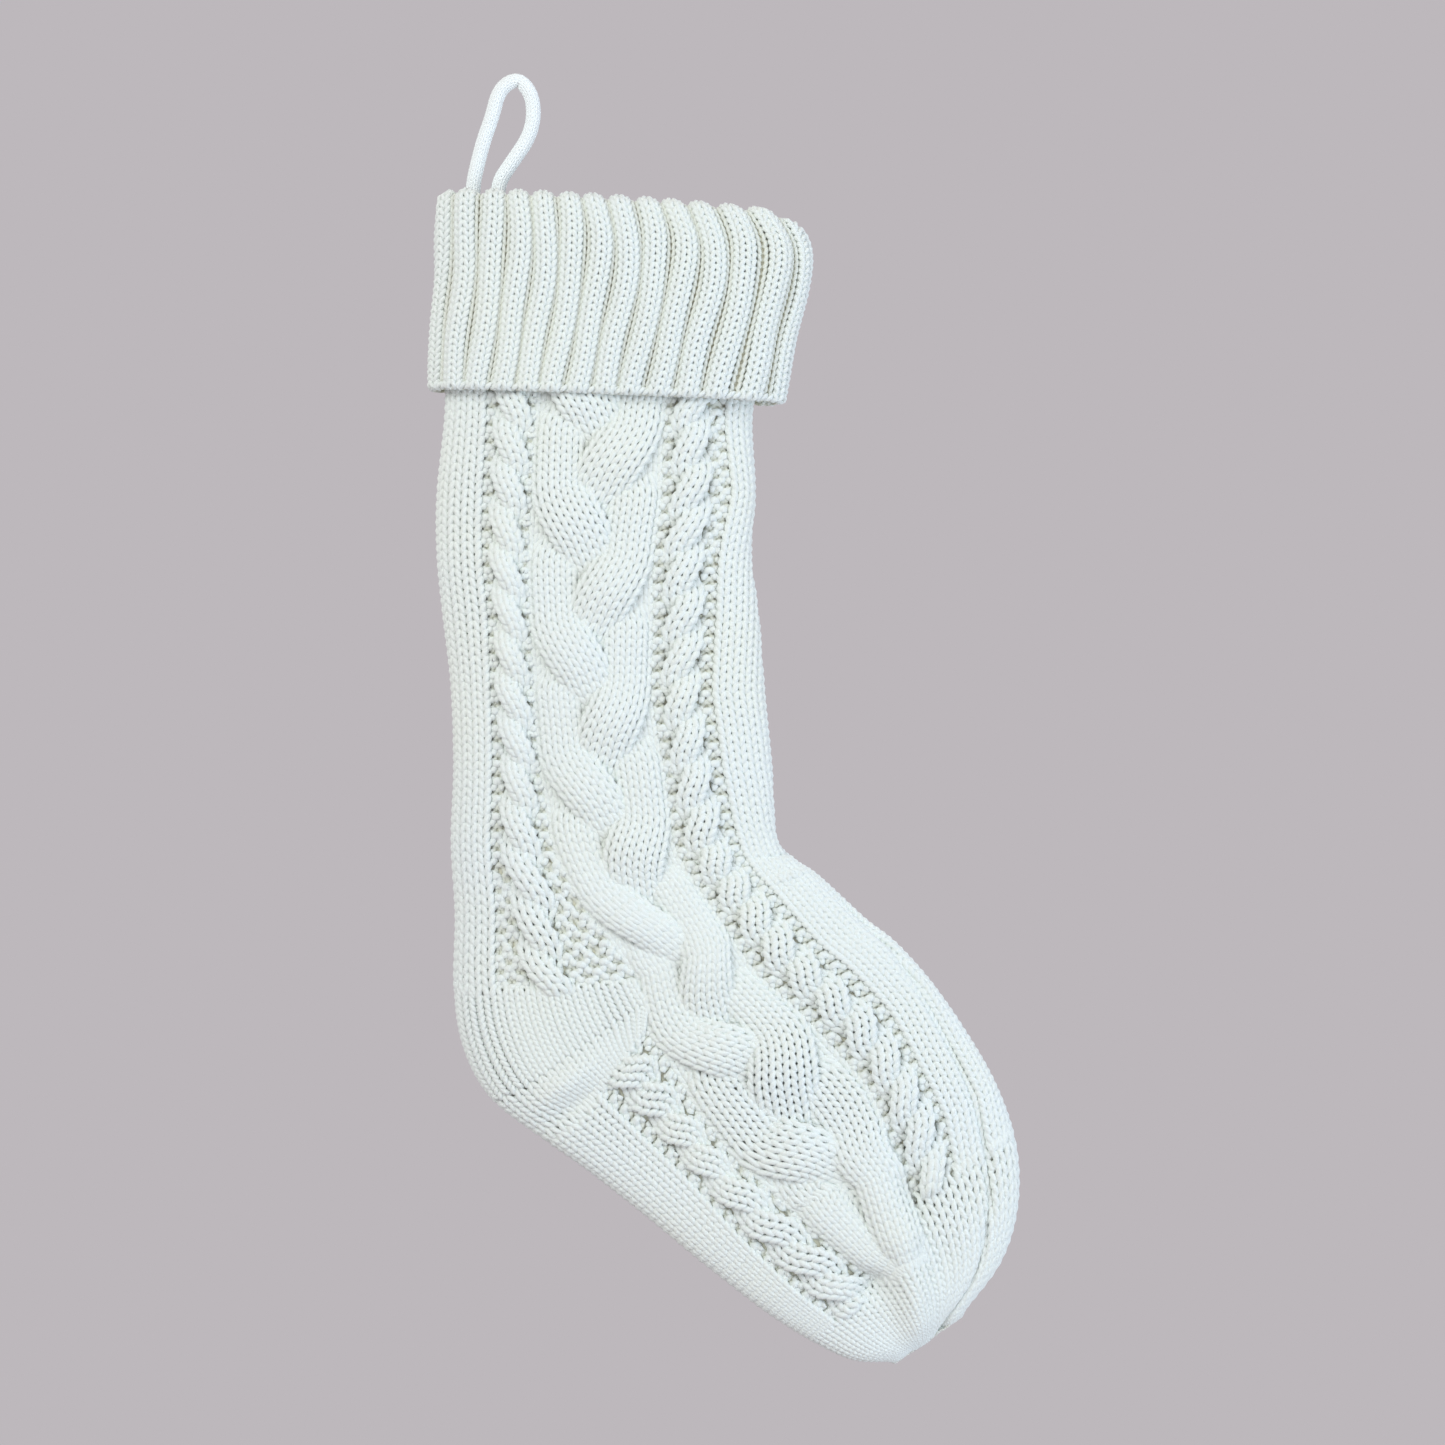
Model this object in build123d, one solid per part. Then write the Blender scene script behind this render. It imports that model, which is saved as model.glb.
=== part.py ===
"""Hanging knitted stocking: ribbed turned-down cuff, cabled leg and foot, and a cord loop to hang it by.

Row frame in millimetres. The origin is the point where a hook bears, at the inner top of the loop.
+Z is up, +X points from the heel side to the toe side, and -Y is the front face.
"""

from build123d import *
from math import cos, hypot, radians, sin, tan
import os

# Knitted fabric
WALL = 4.0  # one layer of cable-knit fabric
CUFF_WALL = 4.6  # one layer of the ribbed cuff
FOLD_HEIGHT = 5.0  # fabric taken up by the fold at the cuff's top
FOLD_ROUNDING = 4.0
HEM_HEIGHT = 4.0  # bound-off edge of the cuff

# Seams
SEAM_WIDTH = 2.6
SEAM_DEPTH = 3.6  # how far the seam goes into the wall
SEAM_RISE = 0.6  # how far the seam stands out of the fabric
SEAM_SHARE = 0.5  # of the edge's rounding, at most, that the seam goes into
TOE_SEAM_DEPTH = 5.0

# Hanging loop
CORD_RADIUS = 2.85
HINGE_Z = -34.5  # height at which the loop bends over the cuff
HINGE_GAP = 0.3
ARC_SHARE = 0.45  # of the shorter run that each arc of the cord may take
STITCH_RADIUS = 0.45
STITCH_CLEARANCE = 0.02
STITCH_HEIGHTS = (-61.5, -65.5, -69.5)

# Each section across the leg and foot: back edge (x, z), front edge (x, z), thickness.
LEG_SECTIONS = [
    ((-26.0, -42.0), (100.5, -51.5), 29.0),
    ((-26.5, -66.0), (105.5, -70.0), 29.5),
    ((-27.5, -95.0), (101.5, -96.0), 30.0),
    ((-28.0, -124.0), (94.0, -124.0), 30.0),
    ((-31.0, -155.0), (95.0, -155.0), 31.0),
    ((-31.0, -180.0), (93.5, -180.0), 31.5),
    ((-29.0, -203.0), (96.0, -203.0), 32.0),
    ((-25.5, -232.0), (98.5, -232.0), 32.0),
    ((-24.0, -263.0), (102.0, -263.0), 32.5),
    ((-25.0, -292.0), (104.0, -290.0), 33.0),
]
FOOT_SECTIONS = [
    ((-24.0, -320.0), (111.0, -299.0), 33.5),
    ((-24.5, -348.0), (119.0, -304.5), 34.0),
    ((-21.0, -371.0), (128.0, -312.5), 34.0),
    ((-11.5, -390.0), (138.5, -322.5), 33.5),
    ((4.0, -403.0), (150.0, -331.5), 32.5),
    ((27.0, -418.5), (164.5, -347.0), 31.0),
    ((49.0, -435.5), (177.5, -365.5), 29.5),
    ((73.0, -456.0), (188.5, -386.0), 28.0),
    ((97.0, -475.0), (196.0, -410.0), 25.5),
    ((116.5, -487.0), (196.5, -433.0), 22.0),
    ((131.0, -493.5), (190.5, -453.0), 17.0),
    ((144.0, -494.5), (177.0, -471.5), 10.0),
]
STOCKING_SECTIONS = LEG_SECTIONS + FOOT_SECTIONS
CUFF_SECTIONS = [
    ((-31.5, -38.0), (108.0, -46.0), 40.0),
    ((-32.5, -54.0), (116.0, -60.0), 41.5),
    ((-32.5, -72.0), (116.0, -76.0), 42.0),
    ((-33.5, -95.0), (111.0, -98.0), 42.5),
    ((-34.5, -114.5), (106.5, -120.0), 43.0),
]
# Angle of the front seam round the front edge, from the edge itself towards the front face
SEAM_ANGLES = [0] * 10 + [10, 20, 30, 40, 48, 54, 58, 60, 60, 58, 55]

# Where the knitting changes: the heel's inner corner, and the lines that meet there
HEEL_CORNER = (49.0, -356.0)
HEEL_TOP = (-80.0, -343.0)
HEEL_BOTTOM = (-60.0, -453.0)
ANKLE = (150.0, -245.0)
TOE_LINE = ((260.0, -338.5), (100.0, -520.0))
RIB_END_Z = -105.0  # level inside the cuff where the ribbing stops

# The cord's route, left leg first: the loop's points above the hinge, and a tail's below it (x shift, y, z)
LOOP_ROUTE = [
    (-16.3, HINGE_Z),
    (-14.6, -27.0),
    (-12.2, -17.5),
    (-8.9, -8.6),
    (-5.6, 0.9),
    (1.2, 4.4),
    (6.6, -0.5),
    (7.6, -9.0),
    (5.6, -17.5),
    (0.8, -25.4),
    (-5.2, HINGE_Z),
]
TAIL_TOP_Z = HINGE_Z - CORD_RADIUS - HINGE_GAP
TAIL_LEAN_Z, TAIL_FLAT_Z, TAIL_END_Z = -44.0, -54.0, -72.0
# Each tail: where it stands along the mouth, and how far back it lies against the inner layer
TAILS = [(-16.3, 4.4), (-5.2, 6.3)]

# How far the cutting outlines go past the stocking
FAR = 150.0
PAST_EDGE = 40.0
PAST_TOE = 60.0
PAST_MOUTH = 12.0
PAST_HEM = 10.0
ABOVE_RIM_Z, BELOW_TOE_Z = 100.0, -700.0


def along(back, front):
    """Unit vector across the stocking, from the back edge to the front edge."""
    width = hypot(front[0] - back[0], front[1] - back[1])
    return (front[0] - back[0]) / width, (front[1] - back[1]) / width


def across_plane(back, front, towards=0.0):
    """Plane through a section, with its x along the section, moved a little down the stocking."""
    ux, uz = along(back, front)
    middle = ((back[0] + front[0]) / 2 + uz * towards, 0, (back[1] + front[1]) / 2 - ux * towards)
    return Plane(origin=middle, x_dir=(ux, 0, uz), z_dir=(-uz, 0, ux))


def oval(section, inset=0.0, towards=0.0):
    """Flattened oval outline of one section, inset evenly all round."""
    back, front, thickness = section
    width = hypot(front[0] - back[0], front[1] - back[1])
    return across_plane(back, front, towards) * SlotOverall(width - 2 * inset, thickness - 2 * inset)


def tube(sections, inset=0.0):
    return loft([oval(section, inset) for section in sections])


def strip_section(section, angle):
    """Small rectangle set into the wall at an angle round the front edge."""
    back, front, thickness = section
    width = hypot(front[0] - back[0], front[1] - back[1])
    radius = thickness / 2
    depth = min(SEAM_DEPTH, radius * SEAM_SHARE)
    reach = radius + SEAM_RISE - (depth + SEAM_RISE) / 2
    turn = radians(angle)
    local = Location((width / 2 - radius + reach * cos(turn), -reach * sin(turn), 0), (0, 0, -angle))
    return across_plane(back, front) * local * Rectangle(depth + SEAM_RISE, SEAM_WIDTH)


def strip(sections, angles):
    return loft([strip_section(section, angle) for section, angle in zip(sections, angles)])


def region(*points):
    """Tall prism over an outline in the XZ plane, to cut the stocking with."""
    outline = Plane.XZ * Polygon(*points, align=None)
    return extrude(outline, amount=FAR, both=True)


def cord(points, radius):
    """Round cord along straight runs joined by arcs as large as the runs allow."""
    route = [Vector(*p) for p in points]
    radii = []
    for before, here, after in zip(route, route[1:], route[2:]):
        run_in, run_out = here - before, after - here
        turn = radians(run_in.get_angle(run_out))
        radii.append(ARC_SHARE * min(run_in.length, run_out.length) / tan(turn / 2))
    path = FilletPolyline(*route, radius=radii)
    section = Plane(origin=route[0], z_dir=route[1] - route[0]) * Circle(radius)
    return sweep(section, path=path)


def hanging_loop():
    body = cord([(x, 0, z) for x, z in LOOP_ROUTE], CORD_RADIUS)
    for x, _ in TAILS:
        body += Pos(x, 0, HINGE_Z) * Sphere(CORD_RADIUS)
    return body


def tail(x, setback):
    """From under the loop's hinge, back to the inner layer and down along it."""
    route = [(0, TAIL_TOP_Z), (0.3, TAIL_LEAN_Z), (setback, TAIL_FLAT_Z), (setback, TAIL_END_Z)]
    return cord([(x, y, z) for y, z in route], CORD_RADIUS)


def loop_tails():
    return Compound([tail(x, setback) for x, setback in TAILS])


def loop_tack_stitches():
    """Rings of sewing yarn round each tail."""
    ring = Torus(CORD_RADIUS + STITCH_RADIUS + STITCH_CLEARANCE, STITCH_RADIUS)
    return Compound([Pos(x, setback, z) * ring for x, setback in TAILS for z in STITCH_HEIGHTS])


def extended(section, amount):
    """The same section moved up the stocking by an amount."""
    back, front, thickness = section
    ux, uz = along(back, front)
    return (
        (back[0] - uz * amount, back[1] + ux * amount),
        (front[0] - uz * amount, front[1] + ux * amount),
        thickness,
    )


def knitted_tube():
    """The knitted tube from the fold to the toe, before it is divided, and the space inside it."""
    mouth = extended(LEG_SECTIONS[0], PAST_MOUTH)
    void = tube([mouth] + STOCKING_SECTIONS[:-1], WALL)
    return tube(STOCKING_SECTIONS) - void, void


def folded_cuff(void):
    """The turned-down layer with its fold, closed above and open below."""
    shell = tube(CUFF_SECTIONS)
    rim = shell.faces().sort_by(Axis.Z)[-1].edges()
    shell = fillet(rim, FOLD_ROUNDING)
    cavity_top = extended(CUFF_SECTIONS[0], -FOLD_HEIGHT)
    cavity_end = extended(CUFF_SECTIONS[-1], -PAST_HEM)
    cavity = tube([cavity_top] + CUFF_SECTIONS[1:] + [cavity_end], CUFF_WALL)
    return shell - cavity - void


def cut_line(section):
    """Ends of the line through a section, carried on past both edges."""
    back, front, _ = section
    ux, uz = along(back, front)
    start = (back[0] - PAST_EDGE * ux, back[1] - PAST_EDGE * uz)
    end = (front[0] + PAST_EDGE * ux, front[1] + PAST_EDGE * uz)
    return start, end


def below_line(start, end):
    """Everything under a line across the stocking, given from its back end to its front end."""
    return region(start, end, (end[0], end[1] - 4 * FAR), (start[0], start[1] - 4 * FAR))


def toe_end_area():
    """Everything past a line a few millimetres above the toe's closing."""
    section = extended(FOOT_SECTIONS[-1], TOE_SEAM_DEPTH)
    start, end = cut_line(section)
    far_start, far_end = cut_line(extended(section, -PAST_TOE))
    return region(start, end, far_end, far_start)


def main():
    fabric, void = knitted_tube()
    front_seam = strip(LEG_SECTIONS[1:] + FOOT_SECTIONS[:-1], SEAM_ANGLES[1:])
    cuff = folded_cuff(void)
    cuff_seam = strip(CUFF_SECTIONS[1:], [0] * len(CUFF_SECTIONS[1:]))

    under_fold = below_line(*cut_line(extended(CUFF_SECTIONS[0], -FOLD_HEIGHT)))
    under_hem = below_line(*cut_line(extended(CUFF_SECTIONS[-1], HEM_HEIGHT)))
    under_rib = below_line((-FAR, RIB_END_Z), (2 * FAR, RIB_END_Z))

    heel_area = region(HEEL_TOP, HEEL_CORNER, HEEL_BOTTOM, (HEEL_BOTTOM[0] - FAR, HEEL_BOTTOM[1]))
    toe_upper, toe_lower = TOE_LINE
    toe_floor = (toe_lower[0], BELOW_TOE_Z), (2 * FAR, BELOW_TOE_Z)
    toe_area = region(toe_upper, toe_lower, *toe_floor, (2 * FAR, toe_upper[1]))
    leg_area = region(HEEL_TOP, HEEL_CORNER, ANKLE, (ANKLE[0], ABOVE_RIM_Z), (HEEL_TOP[0], ABOVE_RIM_Z))
    toe_end = toe_end_area()

    tube_below_rib = fabric & under_rib
    toe = tube_below_rib & toe_area
    parts = {
        "hanging_loop": hanging_loop(),
        "loop_tails": loop_tails(),
        "loop_tack_stitches": loop_tack_stitches(),
        "cuff_turn_down": cuff - under_hem,
        "cuff_hem": cuff & under_hem,
        "cuff_seam": cuff_seam,
        "cuff_inner_layer": (fabric & under_fold) - under_rib,
        "leg_tube": tube_below_rib & leg_area,
        "heel_pocket": tube_below_rib & heel_area,
        "foot_tube": tube_below_rib - leg_area - heel_area - toe_area,
        "toe_cap": toe - toe_end,
        "toe_seam": toe & toe_end,
        "front_seam": front_seam & under_rib,
    }
    os.makedirs("parts", exist_ok=True)
    for node, shape in parts.items():
        export_step(shape, f"parts/{node}.step")


main()
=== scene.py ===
"""Hanging cable-knit stocking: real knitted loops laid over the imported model, stitch by stitch."""

import math

import bpy
import numpy as np
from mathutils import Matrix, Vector


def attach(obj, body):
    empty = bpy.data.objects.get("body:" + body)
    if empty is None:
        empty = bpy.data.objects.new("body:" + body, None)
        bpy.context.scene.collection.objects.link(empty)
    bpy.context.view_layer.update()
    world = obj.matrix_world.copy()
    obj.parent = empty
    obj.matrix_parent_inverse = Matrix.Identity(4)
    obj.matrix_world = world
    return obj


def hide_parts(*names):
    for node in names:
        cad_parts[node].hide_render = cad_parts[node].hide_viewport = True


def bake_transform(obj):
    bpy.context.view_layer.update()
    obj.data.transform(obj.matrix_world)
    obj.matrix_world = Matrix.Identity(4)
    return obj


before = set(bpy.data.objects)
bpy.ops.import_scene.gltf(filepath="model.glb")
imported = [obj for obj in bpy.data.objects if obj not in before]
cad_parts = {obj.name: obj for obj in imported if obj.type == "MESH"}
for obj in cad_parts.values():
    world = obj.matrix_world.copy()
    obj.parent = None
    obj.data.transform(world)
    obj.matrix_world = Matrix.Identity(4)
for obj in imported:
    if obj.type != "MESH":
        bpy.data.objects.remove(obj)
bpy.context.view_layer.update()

MM = 0.001

# ---- camera

VIEW_WIDTH = 0.5592
VIEW_CENTRE = (0.0811, 0.0, -0.2448)
FRONT_DEPTH = 0.014  # the view is this wide here, near the stocking's front face
LENS, SENSOR = 100.0, 36.0


def make_camera():
    camera = bpy.data.objects.new("camera", bpy.data.cameras.new("camera"))
    bpy.context.scene.collection.objects.link(camera)
    camera.data.lens, camera.data.sensor_width = LENS, SENSOR
    away = VIEW_WIDTH * LENS / SENSOR
    camera.location = (VIEW_CENTRE[0], -away - FRONT_DEPTH, VIEW_CENTRE[2])
    camera.rotation_euler = (math.radians(90), 0, 0)
    bpy.context.scene.camera = camera


make_camera()

# ---- shape of the stocking, millimetres

# Each section across the leg and foot: back edge x and z, front edge x and z, thickness
SECTIONS = [
    (-26, -42, 100.5, -51.5, 29),
    (-26.5, -66, 105.5, -70, 29.5),
    (-27.5, -95, 101.5, -96, 30),
    (-28, -124, 94, -124, 30),
    (-31, -155, 95, -155, 31),
    (-31, -180, 93.5, -180, 31.5),
    (-29, -203, 96, -203, 32),
    (-25.5, -232, 98.5, -232, 32),
    (-24, -263, 102, -263, 32.5),
    (-25, -292, 104, -290, 33),
    (-24, -320, 111, -299, 33.5),
    (-24.5, -348, 119, -304.5, 34),
    (-21, -371, 128, -312.5, 34),
    (-11.5, -390, 138.5, -322.5, 33.5),
    (4, -403, 150, -331.5, 32.5),
    (27, -418.5, 164.5, -347, 31),
    (49, -435.5, 177.5, -365.5, 29.5),
    (73, -456, 188.5, -386, 28),
    (97, -475, 196, -410, 25.5),
    (116.5, -487, 196.5, -433, 22),
    (131, -493.5, 190.5, -453, 17),
    (144, -494.5, 177, -471.5, 10),
    (147, -496, 176.5, -475.5, 3),
]
CUFF_SECTIONS = [
    (-31.5, -38, 108, -46, 40),
    (-32.5, -54, 116, -60, 41.5),
    (-32.5, -72, 116, -76, 42),
    (-33.5, -95, 111, -98, 42.5),
    (-34.5, -114.5, 106.5, -120, 43),
]
ROUNDNESS = 2.6  # power of the flattened oval
NOMINAL = (126.0, 30.0)  # width and thickness of the oval that the ring coordinate is measured on
YARN_INSET = 2.2  # the stitches' centre lies this far inside the section outline


def spline(values, t):
    """Catmull-Rom curve through values at whole t."""
    values = np.asarray(values, float)
    last = len(values) - 1
    t = np.clip(t, 0, last)
    i = np.minimum(np.floor(t).astype(int), last - 1)
    f = (t - i)[..., None]
    a, b = values[np.maximum(i - 1, 0)], values[i]
    c, d = values[i + 1], values[np.minimum(i + 2, last)]
    return 0.5 * (2 * b + (c - a) * f + (2 * a - 5 * b + 4 * c - d) * f**2 + (3 * b - a - 3 * c + d) * f**3)


def unit(vectors):
    return vectors / np.maximum(np.linalg.norm(vectors, axis=-1, keepdims=True), 1e-9)


def outline_table():
    """Along half of the flattened oval: the share of its length, and how far across and how deep."""
    angle = np.linspace(0, math.pi, 1601)
    across = (1 - np.sign(np.cos(angle)) * np.abs(np.cos(angle)) ** (2 / ROUNDNESS)) / 2
    depth = np.sin(angle).clip(0) ** (2 / ROUNDNESS)
    step = np.hypot(np.diff(across) * NOMINAL[0], np.diff(depth) * NOMINAL[1] / 2)
    length = np.concatenate([[0], np.cumsum(step)])
    return length / length[-1], across, depth


RING, ACROSS, DEPTH = outline_table()


MIDDLE_RING = 0.55  # the shell's length is measured down this line of the front face
MIN_HALF = 0.4  # the least half thickness, where the toe closes


def ring_of(across):
    """Ring coordinate on the front face of a point at this fraction from back edge to front edge."""
    return np.interp(across, ACROSS, RING)


def face_ring(q):
    """The same place on the front face, for a ring coordinate on either face."""
    turn = np.mod(q, 2)
    return np.where(turn < 1, turn, 2 - turn)


class Shell:
    """A closed tube through sections. The section index t runs down it.

    The ring coordinate q runs round it: 0 back edge, 0 to 1 front face, 1 to 2 back face.
    """

    def __init__(self, sections, inset):
        self.table = sections
        self.inset = inset
        grid = np.arange(0, len(sections) - 1 + 1e-9, 0.05)
        points = self.base(np.linspace(0, 1, 200), grid[:, None])
        self.grid = grid
        self.arcs = np.linalg.norm(np.diff(points, axis=1), axis=2).sum(1)
        middle = self.base(MIDDLE_RING, grid)[:, [0, 2]]
        self.lengths = np.concatenate([[0], np.cumsum(np.linalg.norm(np.diff(middle, axis=0), axis=1))])

    def base(self, q, t):
        """Point on the surface in which the stitches' centres lie."""
        q, t = np.broadcast_arrays(q, t)
        back_x, back_z, front_x, front_z, thickness = np.moveaxis(spline(self.table, t), -1, 0)
        ring = face_ring(q)
        side = np.where(np.mod(q, 2) < 1, -1.0, 1.0)
        reach = np.hypot(front_x - back_x, front_z - back_z)
        trim = np.minimum(self.inset / np.maximum(reach, 1), 0.3)
        share = trim + np.interp(ring, RING, ACROSS) * (1 - 2 * trim)
        half = np.maximum(thickness / 2 - self.inset, MIN_HALF)
        y = side * half * np.interp(ring, RING, DEPTH)
        return np.stack([back_x + (front_x - back_x) * share, y, back_z + (front_z - back_z) * share], -1)

    def point(self, q, t, h):
        """Point h millimetres outside the stitches' centre surface, and the outward normal there."""
        ring_step, section_step = 0.004, 0.016
        along = self.base(q, t + section_step) - self.base(q, t - section_step)
        around = self.base(q + ring_step, t) - self.base(q - ring_step, t)
        normal = unit(np.cross(along, around))
        return self.base(q, t) + normal * np.asarray(h)[..., None], normal

    def arc(self, t):
        """Length of one face from edge to edge."""
        return np.interp(t, self.grid, self.arcs)

    def length_at(self, t):
        return np.interp(t, self.grid, self.lengths)

    def t_at(self, length):
        return np.interp(length, self.lengths, self.grid)


leg = Shell(SECTIONS, YARN_INSET)
cuff = Shell(CUFF_SECTIONS, YARN_INSET)

# ---- mesh building

YARN_SIDES = 6
YARN_FLATTEN = 0.92
CELL_MARGIN = 0.06  # empty share along each side of a strand's cell in the bake layout


class Yarn:
    """Gathers lengths of yarn as tubes and makes one mesh of them."""

    def __init__(self):
        self.blocks = []

    def add(self, centres, normals, radius, painted_shading):
        """centres, normals: (strands, points, 3) in millimetres. radius and the painted shading value: one
        number, or one each.
        """
        shape = centres.shape[:2]
        radius = np.broadcast_to(radius, shape)
        painted_shading = np.broadcast_to(painted_shading, shape)
        tangent = unit(np.gradient(centres, axis=1))
        side = unit(np.cross(normals, tangent))
        up = np.cross(tangent, side)
        angle = np.linspace(0, 2 * math.pi, YARN_SIDES, endpoint=False) + 0.5
        wide, tall = np.cos(angle)[:, None], np.sin(angle)[:, None]
        ring = (side[:, :, None] * wide + up[:, :, None] * tall * YARN_FLATTEN) * radius[..., None, None]
        run = np.linalg.norm(np.diff(centres, axis=1), axis=-1).cumsum(1)
        run = np.concatenate([np.zeros((shape[0], 1)), run], 1)
        # Painted shade: each yarn's outward side is painted lighter and its underside darker.
        self.blocks.append((centres[:, :, None] + ring, painted_shading[..., None] + 0.1 * np.sin(angle), run))

    def object(self, name, material):
        """One object of all the strands, with bake and yarn coordinates and a painted shading value at each
        vertex.
        """
        layout = self.layout()
        walls, caps = [], []
        base = cell = 0
        for _, _, run in self.blocks:
            strands, count = run.shape
            walls.append(wall_faces(run, base, cell, layout))
            caps.append((cap_faces(strands, count, base), cap_uv(cell + np.arange(strands), layout)))
            base += run.size * YARN_SIDES
            cell += strands
        quads, wall_bake, wall_yarn = (np.concatenate(parts) for parts in zip(*walls))
        ends, end_bake = (np.concatenate(parts) for parts in zip(*caps))
        coords = np.concatenate([points.reshape(-1, 3) for points, _, _ in self.blocks])
        loops = np.concatenate([quads.reshape(-1), ends.reshape(-1)])
        sizes = np.concatenate([np.full(len(quads), 4), np.full(len(ends), YARN_SIDES)])
        obj = mesh_object(name, coords * MM, loops, sizes, material)
        write_uv(obj, "OFBake", np.concatenate([wall_bake, end_bake]))
        write_uv(obj, "yarn", np.concatenate([wall_yarn, np.zeros((ends.size, 2))]))
        write_painted_shading(obj, np.concatenate([painted_shading.reshape(-1) for _, painted_shading, _ in self.blocks]))
        return obj

    def layout(self):
        """Columns and rows of the bake layout, which has one cell for each strand."""
        strands = sum(run.shape[0] for _, _, run in self.blocks)
        mean_points = sum(run.size for _, _, run in self.blocks) / strands
        columns = max(1, round(math.sqrt(strands * YARN_SIDES / mean_points)))
        return columns, math.ceil(strands / columns)


def wall_faces(run, base, first_cell, layout):
    """Four-sided faces along one block's strands, with their bake and yarn coordinates."""
    columns, rows = layout
    strands, count = run.shape
    s, k, j = np.meshgrid(np.arange(strands), np.arange(count - 1), np.arange(YARN_SIDES), indexing="ij")
    cell = s + first_cell

    def vertex(k, j):
        return base + (s * count + k) * YARN_SIDES + j % YARN_SIDES

    def bake_uv(k, j):
        u = CELL_MARGIN + (1 - 2 * CELL_MARGIN) * k / (count - 1)
        v = CELL_MARGIN + (1 - 2 * CELL_MARGIN) * j / YARN_SIDES
        return np.stack([(cell % columns) / columns + u / columns, (cell // columns) / rows + v / rows], -1)

    def yarn_uv(k, j):
        return np.stack([run[s, k], j / YARN_SIDES], -1)

    def at_corners(value):
        return np.stack([value(k, j), value(k, j + 1), value(k + 1, j + 1), value(k + 1, j)], 3)

    return at_corners(vertex).reshape(-1, 4), *(at_corners(uv).reshape(-1, 2) for uv in (bake_uv, yarn_uv))


def cap_faces(strands, count, base):
    """Faces that close both ends of each strand."""
    start = base + np.arange(strands)[:, None] * count * YARN_SIDES
    turn = np.arange(YARN_SIDES)
    return np.concatenate([start + turn[::-1], start + (count - 1) * YARN_SIDES + turn])


def cap_uv(cells, layout):
    """Bake coordinates of the end faces, in the margin of each strand's cell."""
    columns, rows = layout
    corner = np.stack([cells % columns / columns, cells // columns / rows], -1)
    turn = np.arange(YARN_SIDES)
    spread = np.stack([np.cos(turn), np.sin(turn)], -1) * 0.02 / rows
    return (np.concatenate([corner, corner])[:, None] + 0.03 / rows + spread).reshape(-1, 2)


def mesh_object(name, coords, loops, sizes, material):
    mesh = bpy.data.meshes.new(name)
    mesh.vertices.add(len(coords))
    mesh.vertices.foreach_set("co", np.asarray(coords, np.float32).ravel())
    mesh.loops.add(len(loops))
    mesh.loops.foreach_set("vertex_index", np.asarray(loops, np.int32))
    mesh.polygons.add(len(sizes))
    starts = np.concatenate([[0], np.cumsum(sizes)[:-1]])
    mesh.polygons.foreach_set("loop_start", np.asarray(starts, np.int32))
    mesh.polygons.foreach_set("use_smooth", np.ones(len(sizes), bool))
    mesh.update(calc_edges=True)
    mesh.validate()
    mesh.materials.append(material)
    obj = bpy.data.objects.new(name, mesh)
    bpy.context.scene.collection.objects.link(obj)
    return obj


def write_uv(obj, name, uv):
    layer = obj.data.uv_layers.new(name=name)
    layer.data.foreach_set("uv", np.asarray(uv, np.float32).ravel())


# Painted shading value per vertex: low where shade is painted into the colour, in gaps, grooves and sunken
# loops.
def write_painted_shading(obj, painted_shading):
    attribute = obj.data.attributes.new("painted_shading", "FLOAT", "POINT")
    attribute.data.foreach_set("value", np.asarray(painted_shading, np.float32).clip(0, 1))


def fabric_shell(name, outer, inner, material):
    """Closed sheet between two grids (rows, ring, 3) that wrap round in the second direction."""
    rows, ring = outer.shape[:2]
    i, j = np.meshgrid(np.arange(rows - 1), np.arange(ring), indexing="ij")
    right = (j + 1) % ring
    out = np.stack([i * ring + j, (i + 1) * ring + j, (i + 1) * ring + right, i * ring + right], -1)
    half = rows * ring
    low = half - ring
    around = np.arange(ring)
    nxt = (around + 1) % ring
    top = np.stack([around, nxt, half + nxt, half + around], -1)
    bottom = np.stack([low + nxt, low + around, half + low + around, half + low + nxt], -1)
    quads = np.concatenate([out.reshape(-1, 4), (half + out[..., ::-1]).reshape(-1, 4), top, bottom])
    coords = np.concatenate([outer.reshape(-1, 3), inner.reshape(-1, 3)])
    obj = mesh_object(name, coords * MM, quads.reshape(-1), np.full(len(quads), 4), material)
    write_uv(obj, "OFBake", shell_uv(i, j, rows, ring))
    return obj


def shell_uv(i, j, rows, ring):
    """Outside and inside side by side, above narrow strips for the rims."""
    u = np.stack([j, j, j + 1, j + 1], -1) / ring
    v = np.stack([i, i + 1, i + 1, i], -1) / (rows - 1)
    out, inn = (np.stack([offset + 0.47 * u, 0.05 + 0.94 * v], -1) for offset in (0.01, 0.51))
    rim_u = np.stack([j[0], j[0] + 1, j[0] + 1, j[0]], -1) / ring
    rim = np.stack([0.47 * rim_u, np.tile([0.0, 0.0, 0.015, 0.015], (ring, 1))], -1)
    return np.concatenate([part.reshape(-1, 2) for part in (out, inn[:, :, ::-1], rim, rim + [0, 0.02])])


# ---- materials

WOOL_SURFACE = {"Roughness": 0.92, "Specular IOR Level": 0.25, "Sheen Weight": 0.35, "Sheen Roughness": 0.6}
CLOUD_SCALE, FUZZ_SCALE = 28.0, 1400.0
SHADING_RANGE = {"From Min": 0.05, "From Max": 0.5}  # from the painted shade colour to the full one
SPECK_RANGE = {"To Min": 0.96, "To Max": 1.03}
BUMP = {"Strength": 0.24, "Distance": 0.0005}
PLIES = 2


def node(tree, kind, inputs=(), **settings):
    """A new node. Each of its listed inputs is linked, if given an output of another node, or set."""
    made = tree.nodes.new(kind)
    for key, value in settings.items():
        setattr(made, key, value)
    for key, value in dict(inputs).items():
        if isinstance(value, bpy.types.NodeSocket):
            tree.links.new(value, made.inputs[key])
        else:
            made.inputs[key].default_value = value
    return made


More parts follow.
